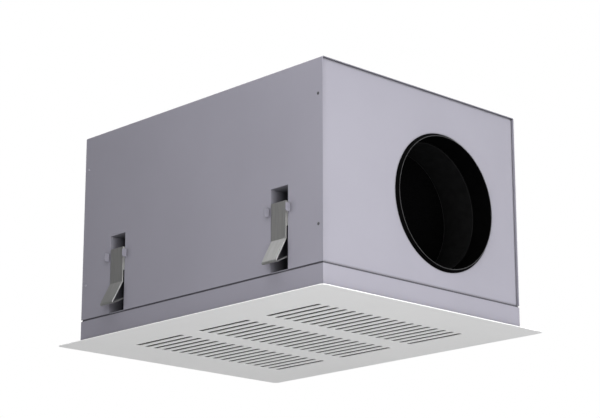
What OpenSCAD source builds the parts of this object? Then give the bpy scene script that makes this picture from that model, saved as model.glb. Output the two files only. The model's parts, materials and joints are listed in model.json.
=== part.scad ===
// Ceiling heat recovery unit with one round duct port, a slotted face plate and four fold-in spring clips.
// Millimetres. The origin is the centre of the face plate's underside.
// +Z is up and +X points out of the duct port.

/* [Casing] */
// Length of the casing along the duct
casing_l = 540; // [500:5:600]
// Width of the casing across the duct
casing_w = 414; // [390:2:450]
// Height of the upper casing above the seam
shell_h = 297.2; // [280:0.1:330]
// Thickness of the folded sheet
sheet_t = 1; // [0.8:0.1:2]
// Outer radius of the folds along the top
fold_r = 2.5; // [2.2:0.1:4]
// Depth that the end panels are set back behind the casing's edges
end_inset = 3.5; // [1.5:0.5:8]
// Width of the inward flanges along the seam
base_flange = 18; // [16:0.5:22]
// Depth of the folded rims of the end panels
panel_rim = 20; // [17:0.5:26]
// Thickness of the foam lining
liner_t = 12; // [6:1:16]
// Distance of the rivets from the vertical edges
rivet_edge = 9; // [7:0.5:12]
// Distance of the rivets from the upper and lower edges
rivet_end = 54; // [40:1:70]
// Radius of a rivet head
rivet_r = 2.2; // [1.6:0.1:3]

/* [Collar and face plate] */
// Height of the collar below the seam
collar_h = 37.2; // [34:0.1:50]
// Height of the dark groove between casing and collar
seam_gap = 2.6; // [1:0.1:4]
// Overhang of the face plate beyond the casing
plate_over = 26; // [22:0.5:40]
// Thickness of the face plate
plate_t = 1; // [0.8:0.1:4]
// Corner radius of the face plate
plate_corner_r = 8; // [5:1:25]
// Number of slots in one column
slot_count = 18; // [6:1:18]
// Distance between neighbouring slots
slot_pitch = 17.4; // [14:0.1:17.5]
// Length of one slot
slot_l = 112; // [80:1:120]
// Width of one slot
slot_w = 8; // [3:0.5:10]
// Number of columns of slots
column_count = 3; // [1:1:3]
// Distance between neighbouring columns
column_pitch = 148.4; // [125:0.2:150]
// Height of the tray that holds the filter
tray_h = 14; // [8:1:24]
// Height of the filter frame
filter_h = 28; // [20:1:30]
// Width of the filter frame's bars
filter_bar = 10; // [6:1:16]
// Distance between the filter's pleats
pleat_pitch = 15; // [10:1:24]

/* [Duct port] */
// Radius of the duct socket's bore
port_r = 100; // [90:0.5:102]
// Sideways distance of the port from the middle of the casing
port_y = 46.6; // [30:0.1:50]
// Height of the port's axis over the middle of the casing
port_lift = 2.5; // [0:0.1:4]
// Wall of the socket at the foot of its bead
socket_wall = 4.9; // [4:0.1:7]
// Height of the bead over the sleeve
bead_step = 2.2; // [1.2:0.1:3]
// Distance that the socket's bead stands out of the end panel
rim_proud = 5; // [3:0.5:10]
// Depth of the socket down to its stop
socket_depth = 35; // [30:1:60]
// Whole length of the socket
socket_len = 93; // [80:1:110]
// Height of the stop at the socket's bottom
stop_step = 2.5; // [1.5:0.1:4]

/* [Heat store] */
// Length of the ceramic core
core_l = 150; // [110:1:155]
// Radius of the ceramic core
core_r = 92; // [80:0.5:93]
// Distance between the core's cells
cell_pitch = 14; // [12:0.5:20]
// Wall between the core's cells
cell_wall = 2; // [1:0.1:3]
// Wall of the tube round the core
tube_wall = 3; // [2:0.1:4]
// Thickness of the filter disc in front of the core
disc_t = 12; // [8:1:20]
// Length of a foam ring round the core
seal_l = 12; // [8:1:20]

/* [Fan] */
// Length of the fan housing
fan_l = 70; // [64:1:80]
// Radius of the impeller's hub
hub_r = 42; // [40:0.5:50]
// Gap between the blades and the fan housing
tip_gap = 2; // [1:0.1:4]
// Number of blades
blade_count = 7; // [5:1:9]
// Angle of the blades at the hub
blade_root_a = 46; // [35:1:50]
// Angle of the blades at the tip
blade_tip_a = 24; // [15:1:30]
// Radius of the fan shaft
shaft_r = 4; // [3:0.1:5]
// Outer radius of a ball bearing
bearing_r = 11; // [9:0.5:13]

/* [Ceiling clips] */
// Distance of the clips from the middle of the casing
clip_x = 182.3; // [160:0.1:195]
// Width of a clip's window
window_w = 35.2; // [33:0.2:42]
// Height of a clip's window
window_h = 124; // [115:1:140]
// Depth of the pocket behind a window
pocket_d = 36; // [30:1:44]
// Width of a clip
clip_w = 29.6; // [26:0.1:31]
// Thickness of a clip
clip_t = 1.8; // [1.2:0.1:2.2]
// Distance of a clip's top from the seam
clip_top = 101.5; // [95:0.5:108]
// Distance of a clip's bend from the seam
clip_bend = 46.5; // [38:0.5:50]
// Distance of the fold line at a clip's tip from the seam
clip_tip = 8.5; // [6:0.5:10]
// Distance of a clip's outer face from the casing
clip_proud = 1.8; // [1.6:0.1:4.5]
// Distance that the fold line at a clip's tip stands out of the casing
tip_out = 21.5; // [14:0.5:24]
// Height of the lip folded back from the tip
lip_rise = 12; // [6:0.5:16]
// Distance of the pivot below a clip's top
pivot_drop = 13; // [11:0.5:16]
// Radius of the pivot pin
pin_r = 2.5; // [1.8:0.1:2.6]
// Distance that the guide lugs stand out of the casing
lug_out = 8.5; // [6:0.5:14]
// Distance of the guide lugs from a clip's window
lug_gap = 3.5; // [1:0.5:6]
// Height of a guide lug
lug_h = 13; // [12:0.5:22]
// Radius of the spring's wire
wire_r = 0.7; // [0.5:0.05:0.8]
// Turns in a clip spring
spring_turns = 5; // [3:1:6]
// Length of the spring's leg behind the clip
spring_leg = 30; // [18:1:36]

/* [Controls] */
// Length of the control box
box_l = 150; // [120:1:180]
// Height of the control box
box_h = 96; // [80:1:110]
// Depth of the control box
box_d = 52; // [44:1:60]
// Radius of the cable hole in the gland
gland_bore_r = 5; // [3:0.1:6]
// Sideways distance of the gland from the middle of the casing
gland_y = -130; // [-150:1:-100]

/* [Hidden] */
$fn = 64;

// Clearances
plate_gap = 0.3;
run_gap = 0.05;
slip_gap = 0.3;
foam_gap = 1;
hole_gap = 0.2;
cut = 1;

// Levels from the face plate up
collar_z0 = plate_t + plate_gap;
collar_z1 = collar_z0 + collar_h;
shell_z0 = collar_z1 + seam_gap;
shell_z1 = shell_z0 + shell_h;
inner_z0 = shell_z0 + sheet_t;
inner_z1 = shell_z1 - sheet_t;
seam_z = collar_z1 + seam_gap / 2;

// Faces of the casing
half_l = casing_l / 2;
half_w = casing_w / 2;
wall_y = half_w - sheet_t;
fold_in = fold_r - sheet_t;
end_x = half_l - end_inset;
end_in = end_x - sheet_t;
rim_in = end_in - panel_rim;
liner_x = rim_in - foam_gap;

// Face plate, its grille and the tray above it
plate_l = casing_l + 2 * plate_over;
plate_w = casing_w + 2 * plate_over;
tray_margin = 24;
tray_wall = 1.2;
tray_l = (column_count - 1) * column_pitch + slot_l + 2 * tray_margin;
tray_w = (slot_count - 1) * slot_pitch + slot_w + 2 * tray_margin;
frame_l = tray_l - 2 * (tray_wall + slip_gap);
frame_w = tray_w - 2 * (tray_wall + slip_gap);
media_t = 1.2;
media_lift = 7;
catch_inset = 14;
catch_x = half_l - sheet_t - catch_inset;
catch_y = half_w - sheet_t - catch_inset;
catch_r = 8;
stud_r = 3;
stud_head_r = 4;
stud_head_h = 5;
catch_top = collar_z1 - sheet_t;
catch_cap = 4;
catch_drop = 22;
stud_play = 2.3;

// Fixings of the collar
screw_r = 2;
screw_head_r = 3.8;
screw_head_h = 2.5;
nut_r = 4;
nut_h = 3.2;
screw_tip = 1;
flange_mid = sheet_t + (base_flange - sheet_t) / 2;
side_screw_x = casing_l / 5;
end_screw_y = casing_w / 5;
COLLAR_SCREWS = concat(
    [for (x = [-1, 0, 1], s = [-1, 1]) [x * side_screw_x, s * (half_w - flange_mid)]],
    [for (s = [-1, 1], y = [-1, 1]) [s * (end_in - panel_rim / 2), y * end_screw_y]]
);
gasket_inset = 1.5;
gasket_edge = 2;
gasket_w = base_flange - gasket_inset - gasket_edge;
liner_z0 = inner_z0 + nut_h + screw_tip + foam_gap;
rivet_head_h = 0.7;

// Duct socket and what lines up behind it
port_z = (collar_z0 + shell_z1) / 2 + port_lift;
bead_r = port_r + socket_wall;
sleeve_r = bead_r - bead_step;
stop_r = port_r - stop_step;
rim_x = end_x + rim_proud;
stop_x = rim_x - socket_depth;
tail_x = rim_x - socket_len;
mouth_wall = 0.8;
mouth_r = port_r + mouth_wall;
ring_l = 10;
ring_wall = 10;
tube_lap = 15;
seal_wall = 6;
tube_in_r = core_r + seal_wall;
tube_out_r = tube_in_r + tube_wall;
lap_r = sleeve_r + slip_gap;
core_x1 = tail_x - disc_t - foam_gap;
core_x0 = core_x1 - core_l;
tube_x0 = core_x0 - foam_gap;
flange_t = 4;
flange_w = 12;
flange_r = tube_out_r + flange_w;
flange_screw_r = tube_out_r + flange_w / 2;
flange_screws = 4;
cell = cell_pitch - cell_wall;
cell_rows = floor(core_r / cell_pitch);
cradle_rim = 11;
cradle_w = 2 * (tube_out_r + cradle_rim);
cradle_foot = 25;
cradle_inset = 30;
cradle_front_x = tail_x - cradle_inset;
cradle_rear_x = tube_x0 + flange_t + cradle_inset;

// Fan, from its front flange back
fan_x1 = tube_x0;
fan_x0 = fan_x1 - fan_l;
fan_step = 3;
fan_bore_r = tube_in_r - fan_step;
fan_out_r = fan_bore_r + tube_wall;
motor_plate_t = 4;
motor_plate_step = 2;
motor_plate_r = hub_r - motor_plate_step;
strut_count = 5;
strut_w = 10;
hub_wall = 4;
hub_cap = 4;
hub_in_r = hub_r - hub_wall;
hub_gap = 8;
hub_x0 = fan_x0 + motor_plate_t + hub_gap;
hub_x1 = fan_x1 - hub_gap;
boss_wall = 5;
boss_r = shaft_r + boss_wall;
boss_l = 9;
rotor_gap = 5;
air_gap = 4;
stator_x0 = fan_x0 + motor_plate_t;
stator_x1 = hub_x1 - hub_cap - boss_l - rotor_gap;
stator_r = hub_in_r - air_gap;
stator_step = 10;
stator_foot = 6;
stator_foot_r = bearing_r + stator_foot;
bearing_w = 7;
shaft_room = 2;
bearing_x = [stator_x0, stator_x1 - bearing_w];
tip_r = fan_bore_r - tip_gap;
blade_sink = 1.5;
blade_root_r = hub_r - blade_sink;
blade_mid_x = (hub_x0 + hub_x1) / 2;
blade_root_c = 40;
blade_tip_c = 58;
blade_root_t = 4.5;
blade_tip_t = 2.2;
blade_camber = 0.07;
blade_rings = 6;
blade_steps = 5;

// Clips, counted round the casing from the corner that is furthest from the port
CLIPS = [[-1, -1], [1, -1], [1, 1], [-1, 1]];
window_z1 = seam_z + window_h;
pocket_half = window_w / 2;
pocket_out = pocket_half + sheet_t;
pocket_lip = 8;
clip_mid = clip_proud - clip_t / 2;
clip_back = clip_proud - clip_t;
clip_top_z = seam_z + clip_top;
clip_bend_z = seam_z + clip_bend;
clip_tip_z = seam_z + clip_tip;
lip_in = 1.5;
bend_r = 0.9 * clip_t;
bend_steps = 8;
pivot_z = clip_top_z - pivot_drop;
pin_head = 1.8;
pin_head_r = pin_r + pin_head;
pin_head_t = 1.5;
pivot_in = 2 * sheet_t + pin_head_r + slip_gap;
cheek_wall = 4;
cheek_in = pivot_in + pin_r + cheek_wall;
cheek_round = 4;
cheek_drop = 38;
cheek_slope = 10;
stop_gap = 0.3;
stop_t = 2;
stop_h = 8;
stop_w = pocket_half - clip_w / 2 + clip_t;
lug_round = 3;
lug_drop = 5;
lug_z0 = pivot_z - lug_drop;

// Clip spring: one wire from the pocket's back wall, round the pin and down behind the clip
coil_room = 0.9;
coil_r = pin_r + wire_r + coil_room;
spring_gap = 0.3;
turn_gap = 0.8;
coil_pitch = 2 * wire_r + turn_gap;
curl_rings = 8;
wire_sides = 6;
spring_sweep = 90 + 360 * spring_turns;
coil_w = coil_pitch * spring_sweep / 360;
spring_back = pocket_d - sheet_t - wire_r - spring_gap;
coil_steps = curl_rings * spring_sweep / 360;

// Control box on the left wall and the gland on the rear end
box_wall = 2.5;
box_lid_t = 3;
box_drop = 12;
box_z1 = inner_z1 - liner_t - box_drop;
box_z0 = box_z1 - box_h;
box_x0 = -box_l / 2;
box_y0 = -wall_y;
box_y1 = box_y0 + box_d;
board_t = 1.6;
board_lift = 8;
board_gap = 3;
board_post_r = 3;
terminal_l = 50;
terminal_d = 16;
terminal_h = 14;
terminal_ways = 5;
gland_drop = 40;
gland_wall = 3;
gland_grip = 4;
gland_cone = 3;
gland_lip = 1.5;
gland_z = inner_z1 - liner_t - gland_drop;
gland_thread_r = gland_bore_r + gland_wall;
gland_flange_r = gland_thread_r + gland_grip;
gland_cap_wall = 1;
gland_cap_r = gland_thread_r + gland_cap_wall;
gland_flange_t = 5;
gland_cap_l = 12;
gland_nut_t = 5;
gland_tail = 9;

// Shared shapes

module along_x(length) rotate([90, 0, 90]) linear_extrude(length, center = true) children();

module rounded(length, width, r) {
    square([length - 2 * r, width], center = true);
    square([length, width - 2 * r], center = true);
    for (sx = [-1, 1], sy = [-1, 1])
        translate([sx * (length / 2 - r), sy * (width / 2 - r)]) circle(r);
}

// Outline with round upper corners, as wide as w and from z0 to z1
module arch_outline(w, z0, z1, r) {
    translate([-w / 2, z0]) square([w, z1 - z0 - r]);
    translate([-w / 2 + r, z0]) square([w - 2 * r, z1 - z0]);
    for (s = [-1, 1]) translate([s * (w / 2 - r), z1 - r]) circle(r);
}

module ring_2d(length, width, wall) {
    difference() {
        square([length, width], center = true);
        square([length - 2 * wall, width - 2 * wall], center = true);
    }
}

// Axis of the duct, core and fan: children are drawn along +Z, which turns into +X
module on_duct_axis() translate([0, port_y, port_z]) rotate([90, 0, 90]) children();

module tube(r_out, r_in, x0, x1) {
    translate([0, 0, x0]) difference() {
        cylinder(r = r_out, h = x1 - x0);
        translate([0, 0, -cut]) cylinder(r = r_in, h = x1 - x0 + 2 * cut);
    }
}

// Place of clip i: the casing's face is at y = 0 and +y goes into the casing
module at_clip(i) {
    translate([CLIPS[i][0] * clip_x, 0, 0])
        mirror([0, CLIPS[i][1] > 0 ? 1 : 0, 0])
            translate([0, -half_w, 0])
                children();
}

module at_collar_screws() for (p = COLLAR_SCREWS) translate([p[0], p[1], 0]) children();

module at_catches() {
    for (sx = [-1, 1], sy = [-1, 1]) translate([sx * catch_x, sy * catch_y, 0]) children();
}

// Rivets through both long sides into the rims of the end panels
module at_rivets() {
    for (sx = [-1, 1], sy = [-1, 1], z = [shell_z0 + rivet_end, shell_z1 - rivet_end])
        translate([sx * (half_l - rivet_edge), sy * half_w, z])
            rotate([-sy * 90, 0, 0])
                children();
}

module rivet_holes() at_rivets() cylinder(r = screw_r, h = 8 * sheet_t, center = true);

module collar_screw_holes(z) {
    at_collar_screws() translate([0, 0, z - cut]) cylinder(r = screw_r + hole_gap, h = 4 * sheet_t + 2 * cut);
}

// Casing

module casing_shell() {
    color([0.55, 0.54, 0.58]) difference() {
        union() {
            along_x(casing_l) difference() {
                arch_outline(casing_w, shell_z0, shell_z1, fold_r);
                translate([0, -cut]) arch_outline(2 * wall_y, shell_z0, inner_z1 + cut, fold_in);
            }
            for (s = [-1, 1]) translate([-end_in, s * (half_w - base_flange / 2) - base_flange / 2, shell_z0])
                cube([2 * end_in, base_flange, sheet_t]);
        }
        for (i = [0:3]) at_clip(i) {
            translate([-pocket_half, -cut, shell_z0 - cut])
                cube([window_w, sheet_t + 2 * cut, window_z1 - shell_z0 + cut]);
            translate([-pocket_out - hole_gap, sheet_t, shell_z0 - cut])
                cube([2 * (pocket_out + hole_gap), base_flange, sheet_t + 2 * cut]);
        }
        rivet_holes();
        collar_screw_holes(shell_z0);
    }
}

// Pan with rims folded back towards the middle of the casing, drawn for the +X end
module end_pan() {
    pan_l = panel_rim + sheet_t;
    difference() {
        translate([end_x - pan_l / 2, 0, 0]) along_x(pan_l)
            arch_outline(2 * wall_y, shell_z0, inner_z1, fold_in);
        translate([rim_in - cut, -wall_y + sheet_t, inner_z0])
            cube([panel_rim + cut, 2 * (wall_y - sheet_t), inner_z1 - inner_z0 - sheet_t]);
        for (s = [-1, 1])
            translate([rim_in - cut, s * wall_y - base_flange, shell_z0 - cut])
                cube([panel_rim + cut, 2 * base_flange, sheet_t + hole_gap + cut]);
        collar_screw_holes(shell_z0);
        rivet_holes();
    }
}

module duct_end_panel() {
    color([0.71, 0.70, 0.74]) difference() {
        end_pan();
        on_duct_axis() translate([0, 0, rim_in]) cylinder(r = sleeve_r + slip_gap, h = 2 * panel_rim);
    }
}

module rear_end_panel() {
    color([0.55, 0.54, 0.58]) difference() {
        mirror([1, 0, 0]) end_pan();
        translate([-end_x - cut, gland_y, gland_z]) rotate([0, 90, 0])
            cylinder(r = gland_thread_r + hole_gap, h = sheet_t + 2 * cut);
    }
}

module casing_rivets() {
    color([0.35, 0.35, 0.37]) at_rivets() {
        cylinder(r1 = rivet_r, r2 = 0.7 * rivet_r, h = rivet_head_h);
        translate([0, 0, -2 * sheet_t]) cylinder(r = screw_r, h = 2 * sheet_t);
        translate([0, 0, -2 * sheet_t - rivet_head_h]) cylinder(r = rivet_r, h = rivet_head_h);
    }
}

// Collar under the seam

module collar_frame() {
    color([0.55, 0.54, 0.58]) difference() {
        union() {
            translate([0, 0, collar_z0]) linear_extrude(collar_h) ring_2d(casing_l, casing_w, sheet_t);
            translate([0, 0, collar_z1 - sheet_t]) linear_extrude(sheet_t)
                ring_2d(casing_l, casing_w, base_flange);
        }
        collar_screw_holes(collar_z1 - 2 * sheet_t);
    }
}

module seam_gasket() {
    color([0.08, 0.08, 0.08]) difference() {
        translate([0, 0, collar_z1]) linear_extrude(seam_gap)
            ring_2d(casing_l - 2 * gasket_inset, casing_w - 2 * gasket_inset, gasket_w);
        collar_screw_holes(collar_z1 - cut);
    }
}

module collar_screws() {
    color([0.6, 0.6, 0.6]) at_collar_screws() {
        translate([0, 0, collar_z1 - sheet_t - screw_head_h]) cylinder(r = screw_head_r, h = screw_head_h);
        translate([0, 0, collar_z1 - sheet_t - screw_head_h])
            cylinder(r = screw_r, h = inner_z0 + nut_h - collar_z1 + sheet_t + screw_head_h + screw_tip);
    }
}

module collar_nuts() {
    color([0.6, 0.6, 0.6]) at_collar_screws() translate([0, 0, inner_z0]) difference() {
        cylinder(r = nut_r, h = nut_h, $fn = 6);
        translate([0, 0, -cut]) cylinder(r = screw_r, h = nut_h + 2 * cut);
    }
}

module catch_sockets() {
    color([0.85, 0.85, 0.83]) at_catches() translate([0, 0, catch_top - catch_drop]) difference() {
        cylinder(r = catch_r, h = catch_drop);
        translate([0, 0, -cut]) cylinder(r = stud_head_r + slip_gap, h = catch_drop - catch_cap + cut);
    }
}

// Clip mechanism

module lug_outline() {
    translate([-lug_out + lug_round, 0]) square([lug_out - lug_round, lug_h]);
    translate([-lug_out, lug_round]) square([lug_out, lug_h - 2 * lug_round]);
    for (z = [lug_round, lug_h - lug_round]) translate([-lug_out + lug_round, z]) circle(lug_round);
}

// Tabs welded to the casing beside each window, which shield the clip's head as the unit is lifted in
module guide_lugs() {
    color([0.55, 0.54, 0.58]) for (i = [0:3], s = [-1, 1]) at_clip(i)
        translate([s * (pocket_half + lug_gap + sheet_t / 2), 0, lug_z0]) along_x(sheet_t) lug_outline();
}

module clip_pocket(i) {
    color([0.55, 0.54, 0.58]) at_clip(i) {
        difference() {
            translate([-pocket_out, sheet_t, shell_z0])
                cube([2 * pocket_out, pocket_d - sheet_t, window_z1 + sheet_t - shell_z0]);
            translate([-pocket_half, sheet_t - cut, inner_z0])
                cube([window_w, pocket_d - 2 * sheet_t + cut, window_z1 - inner_z0]);
            translate([0, pivot_in, pivot_z]) rotate([0, 90, 0])
                cylinder(r = pin_r, h = 2 * pocket_out + 2 * cut, center = true);
        }
        for (s = [-1, 1]) {
            translate([s * (pocket_out + pocket_lip / 2) - pocket_lip / 2, sheet_t, inner_z0 + hole_gap])
                cube([pocket_lip, sheet_t, window_z1 - inner_z0]);
            translate([s * (pocket_half - stop_w / 2) - stop_w / 2, cheek_in + stop_gap, clip_top_z - stop_h])
                cube([stop_w, stop_t, stop_h]);
        }
    }
}

module clip_pins() {
    color([0.7, 0.7, 0.7]) for (i = [0:3]) at_clip(i) translate([0, pivot_in, pivot_z]) rotate([0, 90, 0]) {
        cylinder(r = pin_r, h = 2 * (pocket_out + pin_head_t), center = true);
        for (s = [-1, 1]) translate([0, 0, s * (pocket_out + pin_head_t / 2)])
            cylinder(r = pin_head_r, h = pin_head_t, center = true);
    }
}

// Direction of a heading, and the normal on its left
function way(h) = [cos(h), sin(h)];
function left(h) = [-sin(h), cos(h)];
function heading_2d(a, b) = atan2(b[1] - a[1], b[0] - a[0]);

// Points with headings along the arc that rounds the corner b between a and c
function bend_arc(a, b, c) =
    let (
        h = heading_2d(a, b),
        swing = (heading_2d(b, c) - h + 540) % 360 - 180,
        reach = bend_r * tan(abs(swing) / 2),
        start = b - reach * way(h)
    ) [for (k = [0:bend_steps])
        let (now = h + swing * k / bend_steps)
            [start + sign(swing) * bend_r * (left(h) - left(now)), now]];

// Strip of the clip: flat against the window, flared out to the tip and folded back as a lip
module clip_strip() {
    top = [-clip_mid, clip_top_z];
    bend = [-clip_mid, clip_bend_z];
    tip = [-tip_out, clip_tip_z];
    lip = [lip_in, clip_tip_z + lip_rise];
    run = concat(
        [[top, heading_2d(top, bend)]],
        bend_arc(top, bend, tip),
        bend_arc(bend, tip, lip),
        [[lip, heading_2d(tip, lip)]]
    );
    polygon(concat(
        [for (p = run) p[0] + clip_t / 2 * left(p[1])],
        [for (k = [len(run) - 1:-1:0]) run[k][0] - clip_t / 2 * left(run[k][1])]
    ));
}

module clip_cheek() {
    polygon([
        [-clip_mid, clip_top_z], [cheek_in - cheek_round, clip_top_z], [cheek_in, clip_top_z - cheek_round],
        [cheek_in, clip_top_z - cheek_drop + cheek_slope], [-clip_mid, clip_top_z - cheek_drop]
    ]);
}

module clip(i) {
    color([0.62, 0.62, 0.61]) at_clip(i) difference() {
        union() {
            along_x(clip_w) clip_strip();
            for (s = [-1, 1]) translate([s * (clip_w - clip_t) / 2, 0, 0]) along_x(clip_t) clip_cheek();
        }
        translate([0, pivot_in, pivot_z]) rotate([0, 90, 0])
            cylinder(r = pin_r + run_gap, h = clip_w + 2 * cut, center = true);
    }
}

// Point at angle a on the coil, with x growing along the pin
function coil_point(a) = [
    coil_w * ((a - 90) / spring_sweep - 0.5),
    pivot_in + coil_r * cos(a),
    pivot_z + coil_r * sin(a)
];
COIL = [for (k = [0:coil_steps]) coil_point(90 + k * spring_sweep / coil_steps)];
SPRING_PATH = concat(
    [[COIL[0][0], spring_back, COIL[0][2]]],
    COIL,
    [[COIL[len(COIL) - 1][0], wire_r + spring_gap - clip_back, pivot_z - spring_leg]]
);
coil_gap = min([for (a = [0:len(COIL) - 1], b = [0:len(COIL) - 1])
    if (b - a >= curl_rings / 2) norm(COIL[a] - COIL[b])]) - 2 * wire_r;
echo(least_spring_gap_mm = coil_gap);

// Tube of the wire along a path: each ring stands square to the path and starts from the pin's direction
function heading(path, k) =
    let (d = path[min(k + 1, len(path) - 1)] - path[max(k - 1, 0)]) d / norm(d);
function wire_ring(path, k) =
    let (
        f = heading(path, k),
        side = cross(f, [1, 0, 0]),
        n = side / norm(side),
        b = cross(f, n)
    ) [for (j = [0:wire_sides - 1])
        path[k] + wire_r * (cos(360 * j / wire_sides) * n + sin(360 * j / wire_sides) * b)];

module wire(path) {
    rings = len(path);
    points = [for (k = [0:rings - 1]) each wire_ring(path, k)];
    sides = [for (k = [0:rings - 2], j = [0:wire_sides - 1])
        let (
            a = k * wire_sides + j,
            b = k * wire_sides + (j + 1) % wire_sides
        ) each [[a, a + wire_sides, b], [b, a + wire_sides, b + wire_sides]]];
    start = [for (j = [1:wire_sides - 2]) [0, j, j + 1]];
    last = (rings - 1) * wire_sides;
    finish = [for (j = [1:wire_sides - 2]) [last, last + j + 1, last + j]];
    polyhedron(points, concat(sides, start, finish));
}

module clip_spring(i) color([0.5, 0.5, 0.52]) at_clip(i) wire(SPRING_PATH);

// Duct socket, heat store and what carries them

// Sleeve with a bead that slopes from the end panel to a thin mouth
module duct_collar() {
    color([0.04, 0.04, 0.04]) on_duct_axis() rotate_extrude() difference() {
        union() {
            translate([stop_r, tail_x]) square([sleeve_r - stop_r, end_x - tail_x]);
            polygon([[stop_r, end_x], [bead_r, end_x], [mouth_r, rim_x], [stop_r, rim_x]]);
        }
        translate([0, stop_x]) square([port_r, socket_depth + cut]);
    }
}

module duct_lock_ring() {
    color([0.12, 0.12, 0.12]) on_duct_axis() difference() {
        tube(sleeve_r + ring_wall, sleeve_r, end_in - ring_l, end_in);
        for (a = [0:60:300]) rotate(a) translate([sleeve_r + ring_wall, 0, end_in - ring_l - cut])
            cylinder(r = ring_wall / 2, h = ring_l - sheet_t);
    }
}

module outdoor_filter() {
    color([0.06, 0.06, 0.06]) on_duct_axis() translate([0, 0, tail_x - disc_t])
        cylinder(r = tube_in_r, h = disc_t);
}

module core_housing() {
    color([0.15, 0.15, 0.16]) on_duct_axis() difference() {
        union() {
            translate([0, 0, tube_x0]) cylinder(r = tube_out_r, h = tail_x - tube_x0);
            translate([0, 0, tube_x0]) cylinder(r = flange_r, h = flange_t);
            translate([0, 0, tail_x - tube_wall]) cylinder(r = lap_r + tube_wall, h = tube_lap + tube_wall);
        }
        translate([0, 0, tube_x0 - cut]) cylinder(r = tube_in_r, h = tail_x - tube_x0 + 2 * cut);
        translate([0, 0, tail_x]) cylinder(r = lap_r, h = tube_lap + cut);
        flange_screw_holes();
    }
}

module at_flange_screws() {
    for (k = [0:flange_screws - 1]) rotate(45 + 360 * k / flange_screws)
        translate([flange_screw_r, 0, 0])
            children();
}

module flange_screw_holes() {
    at_flange_screws() translate([0, 0, tube_x0 - flange_t - cut])
        cylinder(r = screw_r, h = 2 * flange_t + 2 * cut);
}

module heat_core() {
    reach = core_r - cell_wall;
    color([0.78, 0.72, 0.62]) on_duct_axis() translate([0, 0, core_x0]) linear_extrude(core_l) difference() {
        circle(core_r);
        for (x = [-cell_rows:cell_rows], y = [-cell_rows:cell_rows])
            if (norm([abs(x) * cell_pitch + cell / 2, abs(y) * cell_pitch + cell / 2]) < reach)
                translate([x * cell_pitch, y * cell_pitch]) square(cell, center = true);
    }
}

module core_seal(x) color([0.1, 0.1, 0.1]) on_duct_axis() tube(tube_in_r, core_r, x, x + seal_l);
module core_seal_front() core_seal(core_x1 - seal_l);
module core_seal_rear() core_seal(core_x0);

// Plate that hangs the tube from the casing's top, with a foot folded along the sheet
module tube_cradle(x) {
    plate_z0 = port_z - tube_out_r - cradle_rim;
    color([0.62, 0.62, 0.64]) difference() {
        union() {
            translate([x, port_y - cradle_w / 2, plate_z0]) cube([sheet_t, cradle_w, inner_z1 - plate_z0]);
            translate([x, port_y - cradle_w / 2, inner_z1 - sheet_t]) cube([cradle_foot, cradle_w, sheet_t]);
        }
        on_duct_axis() translate([0, 0, x - cut]) cylinder(r = tube_out_r, h = sheet_t + 2 * cut);
    }
}
module tube_cradle_front() tube_cradle(cradle_front_x - cradle_foot);
module tube_cradle_rear() tube_cradle(cradle_rear_x);

// Fan

module fan_housing() {
    color([0.13, 0.13, 0.14]) on_duct_axis() {
        difference() {
            union() {
                translate([0, 0, fan_x0]) cylinder(r = fan_out_r, h = fan_l);
                translate([0, 0, fan_x1 - flange_t]) cylinder(r = flange_r, h = flange_t);
            }
            translate([0, 0, fan_x0 - cut]) cylinder(r = fan_bore_r, h = fan_l + 2 * cut);
            flange_screw_holes();
        }
        translate([0, 0, fan_x0]) {
            cylinder(r = motor_plate_r, h = motor_plate_t);
            for (k = [0:strut_count - 1]) rotate(360 * k / strut_count)
                translate([motor_plate_r - cut, -strut_w / 2, 0])
                    cube([fan_bore_r - motor_plate_r + 2 * cut, strut_w, motor_plate_t]);
        }
    }
}

module fan_screws() {
    color([0.6, 0.6, 0.6]) on_duct_axis() at_flange_screws() {
        translate([0, 0, tube_x0 - flange_t - screw_head_h]) {
            cylinder(r = screw_head_r, h = screw_head_h);
            cylinder(r = screw_r, h = 2 * flange_t + screw_head_h);
        }
    }
}

module fan_stator() {
    color([0.55, 0.35, 0.2]) on_duct_axis() difference() {
        union() {
            translate([0, 0, stator_x0]) cylinder(r = stator_foot_r, h = stator_x1 - stator_x0);
            translate([0, 0, stator_x0 + stator_step])
                cylinder(r = stator_r, h = stator_x1 - stator_x0 - stator_step);
        }
        translate([0, 0, stator_x0 - cut])
            cylinder(r = shaft_r + shaft_room, h = stator_x1 - stator_x0 + 2 * cut);
        translate([0, 0, bearing_x[0] - cut]) cylinder(r = bearing_r, h = bearing_w + cut);
        translate([0, 0, bearing_x[1]]) cylinder(r = bearing_r, h = bearing_w + cut);
    }
}

module fan_bearings() {
    color([0.75, 0.75, 0.77]) on_duct_axis() for (x = bearing_x)
        tube(bearing_r, shaft_r + run_gap, x, x + bearing_w);
}

module fan_shaft() {
    color([0.8, 0.8, 0.82]) on_duct_axis() translate([0, 0, bearing_x[0] + slip_gap])
        cylinder(r = shaft_r, h = hub_x1 - hub_cap - bearing_x[0] - slip_gap);
}

// Point of a blade: station s from hub to tip, step u along the chord, side -1 or 1
function blade_point(s, u, side) =
    let (
        r = blade_root_r + s * (tip_r - blade_root_r),
        chord = blade_root_c + s * (blade_tip_c - blade_root_c),
        a = blade_root_a + s * (blade_tip_a - blade_root_a),
        along = (u - 0.5) * chord,
        bulge = 4 * u * (1 - u),
        lift = blade_camber * chord * bulge,
        thick = (blade_root_t + s * (blade_tip_t - blade_root_t)) * (0.15 + 0.85 * sqrt(bulge)) / 2,
        across = lift + side * thick,
        turn = (along * cos(a) - across * sin(a)) / r * 180 / PI,
        x = along * sin(a) + across * cos(a)
    ) [r * cos(turn), r * sin(turn), blade_mid_x + x];

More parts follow.
